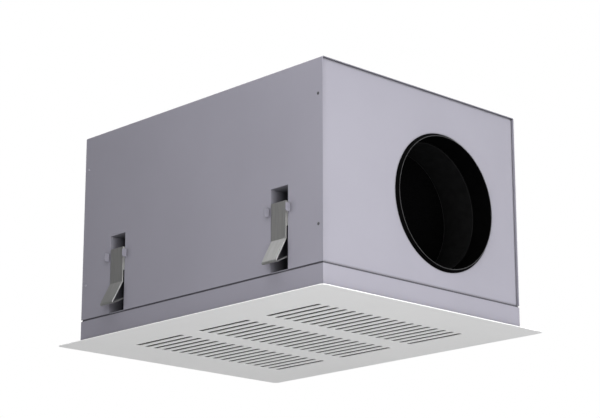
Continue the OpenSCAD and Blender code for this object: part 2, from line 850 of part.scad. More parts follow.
module blade() {
    loop = 2 * (blade_steps + 1);
    points = [for (k = [0:blade_rings - 1]) let (s = k / (blade_rings - 1)) each concat(
        [for (j = [0:blade_steps]) blade_point(s, j / blade_steps, 1)],
        [for (j = [blade_steps:-1:0]) blade_point(s, j / blade_steps, -1)]
    )];
    sides = [for (k = [0:blade_rings - 2], j = [0:loop - 1])
        let (
            a = k * loop + j,
            b = k * loop + (j + 1) % loop
        ) each [[a, b, a + loop], [b, b + loop, a + loop]]];
    root = [for (j = [0:blade_steps - 1]) each [
        [j, loop - 1 - j, j + 1],
        [j + 1, loop - 1 - j, loop - 2 - j]]];
    last = (blade_rings - 1) * loop;
    tip = [for (f = root) [last + f[0], last + f[2], last + f[1]]];
    polyhedron(points, concat(sides, root, tip));
}

module fan_impeller() {
    color([0.2, 0.2, 0.21]) on_duct_axis() {
        difference() {
            translate([0, 0, hub_x0]) cylinder(r = hub_r, h = hub_x1 - hub_x0);
            translate([0, 0, hub_x0 - cut]) cylinder(r = hub_in_r, h = hub_x1 - hub_cap - hub_x0 + cut);
        }
        tube(boss_r, shaft_r, hub_x1 - hub_cap - boss_l, hub_x1 - hub_cap);
        for (k = [0:blade_count - 1]) rotate(360 * k / blade_count) blade();
    }
}

// Controls

module control_box_base() {
    color([0.85, 0.85, 0.84]) difference() {
        translate([box_x0, box_y0, box_z0]) cube([box_l, box_d - box_lid_t, box_h]);
        translate([box_x0 + box_wall, box_y0 + box_wall, box_z0 + box_wall])
            cube([box_l - 2 * box_wall, box_d, box_h - 2 * box_wall]);
    }
}

module control_box_lid() {
    color([0.9, 0.9, 0.89]) difference() {
        translate([box_x0, box_y1 - box_lid_t, box_z0]) cube([box_l, box_lid_t, box_h]);
        at_lid_screws() cylinder(r = screw_r, h = box_lid_t + 2 * cut, center = true);
    }
}

module at_lid_screws() {
    post = 2 * box_wall + screw_r;
    for (sx = [-1, 1], z = [box_z0 + post, box_z1 - post])
        translate([sx * (box_l / 2 - post), box_y1 - box_lid_t / 2, z]) rotate([-90, 0, 0]) children();
}

module control_lid_screws() {
    color([0.6, 0.6, 0.6]) at_lid_screws() {
        translate([0, 0, box_lid_t / 2]) cylinder(r = screw_head_r, h = screw_head_h);
        translate([0, 0, -box_lid_t / 2]) cylinder(r = screw_r, h = box_lid_t + screw_head_h);
    }
}

module control_board() {
    board_l = box_l - 2 * (box_wall + board_gap);
    board_h = box_h - 2 * (box_wall + board_gap);
    board_y = box_y0 + box_wall + board_lift;
    part_h = box_d / 3;
    color([0.1, 0.35, 0.2]) translate([0, board_y, (box_z0 + box_z1) / 2]) {
        translate([-board_l / 2, 0, -board_h / 2]) cube([board_l, board_t, board_h]);
        for (sx = [-1, 1], sz = [-1, 1])
            translate([sx * (board_l / 2 - 2 * board_post_r), 0, sz * (board_h / 2 - 2 * board_post_r)])
                rotate([90, 0, 0])
                    cylinder(r = board_post_r, h = board_lift);
        for (k = [-1, 0, 1]) translate([k * board_l / 5, board_t, board_h / 4]) rotate([-90, 0, 0])
            cylinder(r = board_h / 10, h = part_h);
        translate([-board_l / 3, board_t, -board_h / 8]) cube([board_l / 4, part_h, board_h / 5]);
    }
}

module terminal_block() {
    board_y = box_y0 + box_wall + board_lift + board_t;
    way = terminal_l / terminal_ways;
    block_x = box_l / 2 - box_wall - board_gap - terminal_l - board_gap;
    block_z = box_z0 + box_wall + 2 * board_gap;
    color([0.15, 0.4, 0.3]) translate([block_x, board_y, block_z]) difference() {
        cube([terminal_l, terminal_d, terminal_h]);
        for (k = [0:terminal_ways - 1]) translate([(k + 0.5) * way, terminal_d + cut, terminal_h / 2])
            rotate([90, 0, 0])
                cylinder(r = way / 4, h = terminal_d / 2 + cut);
    }
}

module on_gland_axis() translate([-end_x, gland_y, gland_z]) rotate([0, -90, 0]) children();

module cable_gland() {
    color([0.2, 0.2, 0.2]) on_gland_axis() difference() {
        union() {
            cylinder(r = gland_flange_r, h = gland_flange_t, $fn = 6);
            translate([0, 0, gland_flange_t]) cylinder(r = gland_cap_r, h = gland_cap_l - gland_cone);
            translate([0, 0, gland_flange_t + gland_cap_l - gland_cone])
                cylinder(r1 = gland_cap_r, r2 = gland_bore_r + gland_lip, h = gland_cone);
            translate([0, 0, -gland_tail]) cylinder(r = gland_thread_r, h = gland_tail + cut);
        }
        translate([0, 0, -gland_tail - cut])
            cylinder(r = gland_bore_r, h = gland_tail + gland_flange_t + gland_cap_l + 2 * cut);
    }
}

module gland_nut() {
    color([0.2, 0.2, 0.2]) on_gland_axis() translate([0, 0, -sheet_t - gland_nut_t]) difference() {
        cylinder(r = gland_flange_r, h = gland_nut_t, $fn = 6);
        translate([0, 0, -cut]) cylinder(r = gland_thread_r, h = gland_nut_t + 2 * cut);
    }
}

// Foam lining

module top_liner() {
    top_y = wall_y - fold_in - hole_gap;
    color([0.16, 0.16, 0.17]) difference() {
        translate([-liner_x, -top_y, inner_z1 - liner_t]) cube([2 * liner_x, 2 * top_y, liner_t]);
        for (x = [cradle_front_x - cradle_foot, cradle_rear_x])
            translate([x - foam_gap, port_y - cradle_w / 2 - foam_gap, inner_z1 - liner_t - cut])
                cube([cradle_foot + 2 * foam_gap, cradle_w + 2 * foam_gap, liner_t + 2 * cut]);
    }
}

// Lining of one long side, open round the clip pockets
module side_liner(s) {
    height = inner_z1 - liner_t - liner_z0;
    y0 = s > 0 ? wall_y - liner_t : -wall_y;
    open_half = pocket_out + pocket_lip + foam_gap;
    color([0.16, 0.16, 0.17]) difference() {
        translate([-liner_x, y0, liner_z0]) cube([2 * liner_x, liner_t, height]);
        for (sx = [-1, 1])
            translate([sx * clip_x - open_half, y0 - cut, liner_z0 - cut])
                cube([2 * open_half, liner_t + 2 * cut, window_z1 + sheet_t + foam_gap - liner_z0 + cut]);
        if (s < 0)
            translate([box_x0 - foam_gap, y0 - cut, box_z0 - foam_gap])
                cube([box_l + 2 * foam_gap, liner_t + 2 * cut, box_h + 2 * foam_gap]);
    }
}
module side_liner_left() side_liner(-1);
module side_liner_right() side_liner(1);

module end_liner() {
    liner_y = wall_y - sheet_t - foam_gap;
    translate([end_in - liner_t, -liner_y, liner_z0])
        cube([liner_t, 2 * liner_y, inner_z1 - sheet_t - foam_gap - liner_z0]);
}

module duct_end_liner() {
    color([0.16, 0.16, 0.17]) difference() {
        end_liner();
        on_duct_axis() translate([0, 0, end_in - liner_t - cut])
            cylinder(r = sleeve_r + ring_wall + foam_gap, h = liner_t + 2 * cut);
    }
}

module rear_end_liner() {
    color([0.16, 0.16, 0.17]) difference() {
        mirror([1, 0, 0]) end_liner();
        on_gland_axis() translate([0, 0, -sheet_t - liner_t - cut])
            cylinder(r = gland_flange_r + foam_gap, h = liner_t + 2 * cut);
    }
}

// Face plate with its filter

module slot_2d() {
    square([slot_l - slot_w, slot_w], center = true);
    for (s = [-1, 1]) translate([s * (slot_l - slot_w) / 2, 0]) circle(slot_w / 2);
}

module face_plate() {
    color([0.8, 0.8, 0.8]) linear_extrude(plate_t) difference() {
        rounded(plate_l, plate_w, plate_corner_r);
        for (c = [0:column_count - 1], k = [0:slot_count - 1])
            translate([(c - (column_count - 1) / 2) * column_pitch, (k - (slot_count - 1) / 2) * slot_pitch])
                slot_2d();
    }
}

module filter_tray() {
    color([0.75, 0.75, 0.75]) translate([0, 0, plate_t]) linear_extrude(tray_h)
        ring_2d(tray_l, tray_w, tray_wall);
}

module filter_frame() {
    color([0.25, 0.25, 0.26]) translate([0, 0, plate_t]) linear_extrude(filter_h)
        ring_2d(frame_l, frame_w, filter_bar);
}

// Zigzag sheet whose folds run across the unit
module filter_media() {
    span = frame_l - 2 * filter_bar;
    depth = filter_h - 2 * media_lift - media_t;
    folds = 2 * floor(span / pleat_pitch);
    step = span / folds;
    low = [for (k = [0:folds]) [-span / 2 + k * step, k % 2 * depth]];
    color([0.2, 0.2, 0.21]) translate([0, 0, plate_t + media_lift]) rotate([90, 0, 0])
        linear_extrude(frame_w - 2 * filter_bar, center = true)
            polygon(concat(low, [for (k = [folds:-1:0]) low[k] + [0, media_t]]));
}

module catch_studs() {
    stud_top = catch_top - catch_cap - stud_play;
    color([0.7, 0.7, 0.7]) at_catches() {
        translate([0, 0, plate_t]) cylinder(r = stud_r, h = stud_top - plate_t);
        translate([0, 0, stud_top - stud_head_h]) cylinder(r = stud_head_r, h = stud_head_h);
        translate([0, 0, plate_t]) cylinder(r = 2 * stud_r, h = sheet_t);
    }
}

casing_shell();
duct_end_panel();
rear_end_panel();
collar_frame();
seam_gasket();
casing_rivets();
collar_screws();
collar_nuts();
catch_sockets();
clip_pocket(0);  // clip_pocket_1
clip_pocket(1);  // clip_pocket_2
clip_pocket(2);  // clip_pocket_3
clip_pocket(3);  // clip_pocket_4
guide_lugs();
clip_pins();
clip(0);  // clip_1
clip(1);  // clip_2
clip(2);  // clip_3
clip(3);  // clip_4
clip_spring(0);  // clip_spring_1
clip_spring(1);  // clip_spring_2
clip_spring(2);  // clip_spring_3
clip_spring(3);  // clip_spring_4
duct_collar();
duct_lock_ring();
outdoor_filter();
core_housing();
heat_core();
core_seal_front();
core_seal_rear();
tube_cradle_front();
tube_cradle_rear();
fan_housing();
fan_screws();
fan_stator();
fan_bearings();
fan_shaft();
fan_impeller();
control_box_base();
control_box_lid();
control_lid_screws();
control_board();
terminal_block();
cable_gland();
gland_nut();
top_liner();
side_liner_left();
side_liner_right();
duct_end_liner();
rear_end_liner();
face_plate();
filter_tray();
filter_frame();
filter_media();
catch_studs();
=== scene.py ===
# %% [markdown]
# # A recessed ceiling heat recovery unit
#
# The unit hangs in a ceiling: a folded sheet steel casing with a black duct socket, four spring clips
# that grip the ceiling board, and a slotted face plate below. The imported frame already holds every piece
# at its real size and place, so this lesson only adds what the eye wants: soft edges, finer pieces and
# finishes.

# %% Load the frame
import json
import math

import bpy
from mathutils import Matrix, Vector

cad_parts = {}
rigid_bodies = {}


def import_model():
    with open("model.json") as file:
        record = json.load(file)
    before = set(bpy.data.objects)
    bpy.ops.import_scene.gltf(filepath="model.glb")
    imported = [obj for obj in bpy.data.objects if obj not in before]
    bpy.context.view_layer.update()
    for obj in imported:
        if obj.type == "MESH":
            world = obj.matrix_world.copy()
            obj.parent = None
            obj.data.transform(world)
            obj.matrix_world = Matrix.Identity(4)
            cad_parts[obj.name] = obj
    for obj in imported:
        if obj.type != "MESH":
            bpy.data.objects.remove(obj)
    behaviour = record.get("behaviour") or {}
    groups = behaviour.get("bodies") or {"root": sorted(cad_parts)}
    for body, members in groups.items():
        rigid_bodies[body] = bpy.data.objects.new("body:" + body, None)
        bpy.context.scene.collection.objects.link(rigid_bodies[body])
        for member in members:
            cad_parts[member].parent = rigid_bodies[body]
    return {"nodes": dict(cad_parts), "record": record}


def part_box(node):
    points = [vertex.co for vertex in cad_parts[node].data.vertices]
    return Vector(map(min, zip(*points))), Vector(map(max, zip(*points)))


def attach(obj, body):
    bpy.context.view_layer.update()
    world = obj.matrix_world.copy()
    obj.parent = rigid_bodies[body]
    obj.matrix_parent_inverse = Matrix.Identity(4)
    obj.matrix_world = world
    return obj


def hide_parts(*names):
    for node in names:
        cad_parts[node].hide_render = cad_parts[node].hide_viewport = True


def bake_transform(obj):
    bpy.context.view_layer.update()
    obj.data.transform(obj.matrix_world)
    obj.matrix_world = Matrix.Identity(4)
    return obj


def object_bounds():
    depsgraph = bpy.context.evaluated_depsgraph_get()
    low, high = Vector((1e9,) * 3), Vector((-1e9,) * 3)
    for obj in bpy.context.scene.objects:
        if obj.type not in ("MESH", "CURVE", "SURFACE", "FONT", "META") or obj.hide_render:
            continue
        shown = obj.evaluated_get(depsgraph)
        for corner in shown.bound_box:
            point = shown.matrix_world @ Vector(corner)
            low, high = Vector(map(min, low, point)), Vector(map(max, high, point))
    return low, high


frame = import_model()
cad_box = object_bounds()
nodes = frame["nodes"]
bodies = frame["record"]["behaviour"]["bodies"]
slot_of = {part["node"]: part["material_slot"] for part in frame["record"]["subparts"]}
body_of = {node: body for body, group in bodies.items() for node in group}
MM = 0.001
QUARTER = math.pi / 2

# %% [markdown]
# ## Camera
#
# The picture looks up at the unit from below one corner, with a long lens, so its upright edges stay
# almost parallel. The camera could be set by eye, but a small error shows in every edge. So its place and
# aim were fitted to the casing's edges in the picture; no lens shift is needed.

# %% Camera
eye = (2.0817, -1.9828, -0.5852)
yaw = math.radians(46.286)
pitch_up = math.radians(15.411)
bpy.ops.object.camera_add(location=eye, rotation=(QUARTER + pitch_up, 0, yaw))
camera = bpy.context.object
camera.name = "camera"
camera.data.lens = 114.851
camera.data.sensor_width = 36
camera.data.sensor_fit = "HORIZONTAL"
bpy.context.scene.camera = camera
print("camera:", round(camera.data.lens, 1), "mm lens at", eye)

# %% [markdown]
# ## White background
#
# The picture is a product picture on white. The world could give all the light, but then every side would
# be equally bright and the sheet would lose its shading. So the world is white only where the camera
# looks past the unit, and dim as a light. The Standard view transform keeps white at white.

# %% White background
white = (1, 1, 1, 1)
ambient = 0.056
bpy.context.scene.view_settings.view_transform = "Standard"

world = bpy.data.worlds.new("white_studio")
bpy.context.scene.world = world
world.use_nodes = True
sky = world.node_tree
sky.nodes.clear()
seen = sky.nodes.new("ShaderNodeBackground")
seen.inputs["Color"].default_value = white
lit = sky.nodes.new("ShaderNodeBackground")
lit.inputs["Color"].default_value = white
lit.inputs["Strength"].default_value = ambient
ray = sky.nodes.new("ShaderNodeLightPath")
either = sky.nodes.new("ShaderNodeMixShader")
out = sky.nodes.new("ShaderNodeOutputWorld")
sky.links.new(ray.outputs["Is Camera Ray"], either.inputs["Fac"])
sky.links.new(lit.outputs["Background"], either.inputs[1])
sky.links.new(seen.outputs["Background"], either.inputs[2])
sky.links.new(either.outputs["Shader"], out.inputs["Surface"])
print("world:", world.name, "at", ambient, "of full light")

# %% [markdown]
# ## Soft lights
#
# Flat sheet shows every hard light as a spot, so the lights are large squares that face the middle of the
# unit. The duct end gets the most light and the long side less, which makes the corner between them
# clear. Small lights near the corner and the edges add the gentle rise of tone towards them.

# %% Soft lights
middle = Vector((0, 0, (cad_box[0][2] + cad_box[1][2]) / 2))
# The place and the size of each light in metres, and its power in watts
lights = {
    "end_light": ((3.4, 0.2, 0.9), 2.2, 40.5),
    "end_low_light": ((2.8, 0.4, -1.0), 1.6, 42),
    "end_side_light": ((2.9, -1.4, 0.7), 1.4, 9),
    "edge_light": ((2.3, 1.76, 0.78), 1.0, 22.5),
    "corner_light": ((0.8, -1.2, 0.2), 0.8, 8.2),
    "low_light": ((1.2, -1.4, -1.0), 1.0, 9.4),
    "near_top_light": ((0.55, -0.75, 0.95), 0.5, 4.5),
    "left_light": ((-1.8, -2.2, 0.9), 1.6, 3.2),
    "glint_light": ((-1.95, -0.69, 2.11), 0.6, 4.2),
    "top_light": ((-0.3, 0.3, 3.2), 2.6, 90),
    "rear_light": ((-2.6, 2.6, 1.2), 2.2, 90),
}
for name, (place, size, watts) in lights.items():
    aim = (middle - Vector(place)).to_track_quat("-Z", "Y").to_euler()
    bpy.ops.object.light_add(type="AREA", location=place, rotation=aim)
    light = bpy.context.object
    light.name = name
    light.data.size = size
    light.data.energy = watts
print("lights:", len(lights))

# %% [markdown]
# ## Finishes
#
# A finish could be a picture wrapped round the piece, but a picture blurs when the eye comes close. Here
# each finish is a small node tree on the Object coordinates, which stay with the piece when it moves. A
# wide noise shifts the tone a little, a finer one shifts the gloss, and the finest one is the grain that
# the light catches. Values that are the same all over a surface sit on the shader's own sockets.

# %% Helper for the finishes
finishes = {}
NOISE_LOW = 0.3
NOISE_HIGH = 0.7


class Finish:
    """One material: its shader, its Object coordinates, and short calls for the layers on it."""

    def __init__(self, name, metallic=0.0, specular=0.5, stretch=(1, 1, 1)):
        self.material = finishes[name] = bpy.data.materials.new(name)
        self.material.use_nodes = True
        self.tree = self.material.node_tree
        self.shader = self.tree.nodes["Principled BSDF"]
        self.shader.inputs["Metallic"].default_value = metallic
        self.shader.inputs["Specular IOR Level"].default_value = specular
        mapping = self.add("Mapping", Scale=stretch)
        self.link(self.add("TexCoord").outputs["Object"], mapping.inputs["Vector"])
        self.place = mapping.outputs["Vector"]

    def add(self, kind, **values):
        """A new node with these values on its sockets, a _ for each space in a socket's name."""
        node = self.tree.nodes.new("ShaderNode" + kind)
        for socket, value in values.items():
            node.inputs[socket.replace("_", " ")].default_value = value
        return node

    def link(self, source, target):
        self.tree.links.new(source, target)

    def noise(self, scale, detail=2.0):
        """Soft clouds; a higher scale makes them finer."""
        node = self.add("TexNoise", Scale=scale, Detail=detail)
        self.link(self.place, node.inputs["Vector"])
        return node.outputs["Fac"]

    def pores(self, scale):
        """Cells that are dark in the middle and light between."""
        node = self.add("TexVoronoi", Scale=scale)
        self.link(self.place, node.inputs["Vector"])
        return node.outputs["Distance"]

    def ranged(self, value, low, high, start=0.0, end=1.0, curve="LINEAR"):
        """Map a value between low and high to one between start and end."""
        node = self.add("MapRange", From_Min=low, From_Max=high, To_Min=start, To_Max=end)
        node.interpolation_type = curve
        self.link(value, node.inputs["Value"])
        return node.outputs["Result"]

    def tones(self, pattern, dark, light, low=0.35, high=0.65):
        """Colour the surface between two tones."""
        ramp = self.add("ValToRGB")
        first, last = ramp.color_ramp.elements
        first.position, last.position = low, high
        first.color, last.color = (*dark, 1), (*light, 1)
        self.link(pattern, ramp.inputs["Fac"])
        self.link(ramp.outputs["Color"], self.shader.inputs["Base Color"])

    def gloss(self, pattern, smooth, rough):
        """Let the roughness vary between two values."""
        spread = self.ranged(pattern, NOISE_LOW, NOISE_HIGH, smooth, rough)
        self.link(spread, self.shader.inputs["Roughness"])

    def grain(self, pattern, depth, strength):
        """Raise the surface a little by a pattern, for the light only."""
        bump = self.add("Bump", Strength=strength, Distance=depth)
        self.link(pattern, bump.inputs["Height"])
        self.link(bump.outputs["Normal"], self.shader.inputs["Normal"])


def shade(colour, share):
    """The colour made darker or lighter by a share."""
    return tuple(part * share for part in colour)


print("finish helper ready")

# %% [markdown]
# ### Powder coat
#
# Casing and face plate are powder coated. The coat melts on in the oven and keeps a faint orange peel, a
# ripple of a millimetre or so. It is far too shallow to see as a shape but breaks up the gloss, so a bump
# gives it. Some coats also carry painted shade: their tone darkens in inner corners, where shadow falls
# between parts. Painting it by hand would take long, and the Ambient Occlusion node finds the corners
# by itself.

# %% Powder coat
casing_grey = (0.250, 0.243, 0.285)
TIGHT_CORNER = 0.5


def paint_corner_shade(coat, reach, darkest_share):
    """Paint shade into inner corners, darkening the tones down to the darkest share where a corner is
    tight.
    """
    shelter = coat.add("AmbientOcclusion", Distance=reach)
    share = coat.ranged(shelter.outputs["AO"], TIGHT_CORNER, 1, start=darkest_share)
    corner_shade_mix = coat.add("Mix")
    corner_shade_mix.data_type = "RGBA"
    corner_shade_mix.blend_type = "MULTIPLY"
    corner_shade_mix.inputs["Factor"].default_value = 1
    tone = coat.shader.inputs["Base Color"].links[0].from_socket
    coat.link(tone, corner_shade_mix.inputs["A"])
    coat.link(share, corner_shade_mix.inputs["B"])
    coat.link(corner_shade_mix.outputs["Result"], coat.shader.inputs["Base Color"])


def orange_peel(coat):
    coat.grain(coat.noise(1100, detail=1), depth=0.1 * MM, strength=0.12)


def powder_coat(name, colour, spread, darkest_share=1.0, reach=14 * MM):
    coat = Finish(name, specular=0.35)
    coat.tones(coat.noise(7, detail=3), shade(colour, 1 - spread), shade(colour, 1 + spread))
    if darkest_share < 1:
        paint_corner_shade(coat, reach, darkest_share)
    coat.gloss(coat.noise(60), smooth=0.455, rough=0.485)
    orange_peel(coat)


# Painted shade: casing and end panels darken in inner corners, the end panels in a narrower band.
powder_coat("casing_paint", casing_grey, spread=0.02, darkest_share=0.45)
powder_coat("end_paint", casing_grey, spread=0.02, darkest_share=0.2, reach=4 * MM)
# A lighter copy of the casing grey with no corner shade: painted light for the lugs and the lips.
powder_coat("lit_casing_paint", (0.262, 0.255, 0.297), spread=0.02)
# Lighter than the casing grey: a painted highlight on the domes of the rear rivets.
powder_coat("rivet_highlight_grey", (0.33, 0.32, 0.37), spread=0.02)
powder_coat("plate_paint", (0.82, 0.82, 0.822), spread=0.012)
# A whiter copy of the plate's coat: a painted highlight for the rim of the plate.
powder_coat("plate_rim_highlight", (0.95, 0.95, 0.955), spread=0.01)
powder_coat("white_plastic", (0.72, 0.72, 0.70), spread=0.015)
print("powder coats:", len(finishes))

# %% [markdown]
# ### Painted shade in the pockets
#
# Behind each clip lies a deep, narrow pocket. Its coat fades from the casing's grey at the window to near
# black at the back: painted shade, the shadow deep inside the pocket. Two finishes would leave a hard
# border between them. The distance from the middle of the casing, taken from the Object coordinates,
# drives a smooth fade instead.

# %% Painted shade in the pockets
pocket_mouth = 206 * MM
shade_depth = 26 * MM


def recess_shade_coat(name, colour, deep_shade, edge, depth):
    """A coat that fades to painted shade over a depth, inwards from the edge on both long sides."""
    coat = Finish(name, specular=0.2)
    parts = coat.add("SeparateXYZ")
    across = coat.add("Math")
    across.operation = "ABSOLUTE"
    coat.link(coat.place, parts.inputs["Vector"])
    coat.link(parts.outputs["Y"], across.inputs[0])
    coat.tones(coat.ranged(across.outputs["Value"], edge - depth, edge), deep_shade, colour, low=0, high=1)
    coat.gloss(coat.noise(60), smooth=0.5, rough=0.62)
    orange_peel(coat)


# The pockets darken to near black towards the back: painted shade.
recess_shade_coat("pocket_steel", (0.235, 0.23, 0.265), (0.02, 0.02, 0.024), pocket_mouth, shade_depth)
print("pocket coat fades over", round(shade_depth / MM), "mm")

# %% [markdown]
# ### Steel
#
# The clips are cut from rolled strip, so their grain runs along the strip. A wave pattern would be too
# regular. A noise stretched along Y and Z draws out into fine, uneven lines that follow the bend. Zinc on
# screws and cradles has no direction, only a cloudy bloom.

# %% Steel
along_strip = (1, 0.06, 0.04)


def strip_steel(name, colour, metallic, smooth, rough):
    steel = Finish(name, metallic=metallic, stretch=along_strip)
    lines = steel.noise(900, detail=3)
    steel.tones(lines, shade(colour, 0.9), shade(colour, 1.08))
    steel.gloss(steel.noise(240), smooth, rough)
    steel.grain(lines, depth=0.04 * MM, strength=0.25)


def zinc_coat(name, colour, smooth, rough):
    zinc = Finish(name, metallic=0.9)
    zinc.tones(zinc.noise(160, detail=4), shade(colour, 0.8), shade(colour, 1.1))
    zinc.gloss(zinc.noise(420), smooth, rough)
    zinc.grain(zinc.noise(1600), depth=0.05 * MM, strength=0.15)


strip_steel("clip_steel", (0.20, 0.20, 0.198), metallic=0.5, smooth=0.28, rough=0.36)
# Bright steel for the cut edges: partly bare metal, partly a painted highlight.
strip_steel("cut_steel_highlight", (0.55, 0.55, 0.54), metallic=0.4, smooth=0.3, rough=0.42)
strip_steel("spring_steel", (0.34, 0.34, 0.35), metallic=0.9, smooth=0.28, rough=0.4)
zinc_coat("zinc_steel", (0.52, 0.53, 0.55), smooth=0.34, rough=0.48)
zinc_coat("rivet_steel", (0.10, 0.10, 0.11), smooth=0.4, rough=0.55)
zinc_coat("bearing_steel", (0.66, 0.66, 0.68), smooth=0.14, rough=0.24)
print("steels:", [name for name in finishes if name.endswith("steel")])

# %% [markdown]
# ### Plastics
#
# The duct socket is moulded in black plastic, and a fine spark texture of the mould keeps it dull. One
# black for all of it would look like a hole in the picture. So mouth, throat and inner housings get their
# own tones, each a little uneven.

# %% Plastics


def moulded_black(name, tone, specular):
    plastic = Finish(name, specular=specular)
    colour = (tone, tone, 1.04 * tone)
    plastic.tones(plastic.noise(90, detail=3), shade(colour, 0.8), shade(colour, 1.2))
    plastic.gloss(plastic.noise(200), smooth=0.5, rough=0.64)
    plastic.grain(plastic.noise(1900, detail=1), depth=0.06 * MM, strength=0.2)


moulded_black("black_plastic", 0.0012, specular=0.01)
moulded_black("socket_throat", 0.006, specular=0.06)
# A lighter black for the socket's mouth: a painted highlight.
moulded_black("socket_mouth_highlight", 0.045, specular=0.2)
moulded_black("dark_plastic", 0.016, specular=0.3)
print("finishes so far:", len(finishes))

# %% [markdown]
# ### Foams and fleece
#
# The foams are open cells. Noise would look like felt, so a Voronoi pattern gives the pores their walls,
# dark in the middle and raised between. The fleece of the filter is felt, and there a stretched noise
# lays its threads.

# %% Foams and fleece


def open_cell(name, dark, light, cells):
    foam = Finish(name, specular=0.005)
    foam.tones(foam.pores(cells), dark, light, low=0.1, high=0.6)
    foam.gloss(foam.noise(300), smooth=0.85, rough=0.97)
    foam.grain(foam.pores(cells), depth=0.6 * MM, strength=0.7)


def fibre_mat(name, dark, light, stretch):
    mat = Finish(name, specular=0.1, stretch=stretch)
    threads = mat.noise(700, detail=5)
    mat.tones(threads, dark, light)
    mat.gloss(mat.noise(120), smooth=0.85, rough=0.97)
    mat.grain(threads, depth=0.3 * MM, strength=0.6)


open_cell("lining_foam", (0.012, 0.012, 0.012), (0.035, 0.035, 0.036), cells=420)
open_cell("black_foam", (0.0004, 0.0004, 0.0004), (0.0016, 0.0016, 0.0017), cells=620)
open_cell("gasket_foam", (0.055, 0.054, 0.063), (0.092, 0.090, 0.105), cells=900)
fibre_mat("filter_fleece", (0.030, 0.030, 0.030), (0.060, 0.060, 0.058), stretch=(1, 0.2, 1))
fibre_mat("filter_card", (0.035, 0.035, 0.035), (0.055, 0.055, 0.052), stretch=(1, 1, 1))
print("finishes so far:", len(finishes))

# %% [markdown]
# ### Inner works
#
# Core, winding and board stay inside the casing. They could share one grey, but each is finished for the
# day somebody opens it: a speckled fired clay, enamelled copper wire wound in fine lines, and a lacquered
# green board.

# %% Inner works
clay = Finish("core_ceramic", specular=0.2)
clay.tones(clay.noise(520, detail=5), (0.42, 0.34, 0.25), (0.62, 0.53, 0.42))
clay.gloss(clay.noise(200), smooth=0.75, rough=0.9)
clay.grain(clay.noise(1300, detail=3), depth=0.15 * MM, strength=0.4)

winding = Finish("motor_winding", metallic=0.6, stretch=(0.08, 1, 1))
turns = winding.noise(1500, detail=1)
winding.tones(turns, (0.16, 0.05, 0.02), (0.5, 0.2, 0.08))
winding.gloss(winding.noise(400), smooth=0.25, rough=0.4)
winding.grain(turns, depth=0.2 * MM, strength=0.6)

board = Finish("board_green", specular=0.5)
board.tones(board.pores(300), (0.01, 0.07, 0.03), (0.02, 0.13, 0.06), low=0.2, high=0.4)
board.gloss(board.noise(500), smooth=0.28, rough=0.4)
board.grain(board.noise(900), depth=0.05 * MM, strength=0.2)
print("finishes:", len(finishes), "missing:", sorted(set(slot_of.values()) - set(finishes)))

# %% [markdown]
# ## Floor
#
# The floor is a pale, slightly cloudy sheet of paper. It lies far below, because the camera itself is
# lower than the face plate. A lamp under the unit would show in pictures from below, so the paper glows
# faintly instead and brightens the face plate. The glow grows outwards until the floor is as white as the
# world behind it, so no horizon shows.

# %% Floor
floor_depth = 4.3
floor_size = 120
floor_glow = 0.20
glow_start = 10
glow_end = 36
bpy.ops.mesh.primitive_plane_add(size=floor_size, location=(0, 0, -floor_depth))
floor = bpy.context.object
floor.name = "studio_floor"

paper = Finish("studio_paper", specular=0.1)
paper.tones(paper.noise(1.5, detail=3), (0.86, 0.86, 0.86), (0.89, 0.89, 0.89))
paper.gloss(paper.noise(4), smooth=0.85, rough=0.95)
outwards = paper.add("VectorMath")
outwards.operation = "LENGTH"
paper.link(paper.place, outwards.inputs[0])
glow = paper.ranged(outwards.outputs["Value"], glow_start, glow_end, start=floor_glow, curve="SMOOTHSTEP")
paper.link(glow, paper.shader.inputs["Emission Strength"])
paper.shader.inputs["Emission Color"].default_value = white
floor.data.materials.append(paper.material)
print("floor:", floor_size, "m wide,", floor_depth, "m down")

# %% [markdown]
# ## First coat
#
# Each node of the frame takes the finish of its slot, so nothing is left bare, also where a finer piece
# takes its place further down. Some nodes differ from the rest of their slot: the gasket's closed cells
# look greyer than open foam, and lining and housings deep in the casing are paler than the black of the
# duct. They could get slots of their own, but only the look differs, not what they are made of.

# %% First coat
own_finish = {
    "gasket_foam": ["seam_gasket"],
    "lining_foam": [
        "top_liner", "side_liner_left", "side_liner_right", "duct_end_liner", "rear_end_liner",
    ],
    "dark_plastic": ["core_housing", "fan_housing", "fan_impeller", "duct_lock_ring", "gland_nut"],
}
finish_of = {node: finish for finish, group in own_finish.items() for node in group}
for name, node in nodes.items():
    node.data.materials.clear()
    node.data.materials.append(finishes[finish_of.get(name, slot_of[name])])
print("coated:", len(nodes), "nodes,", len(finish_of), "of them apart from their slot")

# %% [markdown]
# ## Working by hand in code
#
# A mesh could be written as lists of points and faces, but such lists don't show how a piece is made. The
# calls below are the same steps that a modeller takes with the mouse: make one piece active, go into edit
# mode, pick points, edges or faces by their place, and run an operator on what is picked.

# %% Helpers for edit mode and modifiers


def take(piece):
    """Make one piece the only one selected and the active one."""
    bpy.ops.object.select_all(action="DESELECT")
    piece.select_set(True)
    bpy.context.view_layer.objects.active = piece


def mode(name):
    bpy.ops.object.mode_set(mode=name)


def pick(piece, kind, test):
    """Pick the points, edges or faces of the piece in edit mode that pass a test."""
    bpy.ops.mesh.select_mode(type=kind)
    bpy.ops.mesh.select_all(action="DESELECT")
    mode("OBJECT")
    mesh = piece.data
    for part in {"VERT": mesh.vertices, "EDGE": mesh.edges, "FACE": mesh.polygons}[kind]:
        part.select = test(part)
    mode("EDIT")


def apply(piece, kind, **settings):
    """Add a modifier with these settings and apply it at once."""
    take(piece)
    modifier = piece.modifiers.new(kind.lower(), kind)
    for key, value in settings.items():
        setattr(modifier, key, value)
    bpy.ops.object.modifier_apply(modifier=modifier.name)


print("modelling helpers ready")

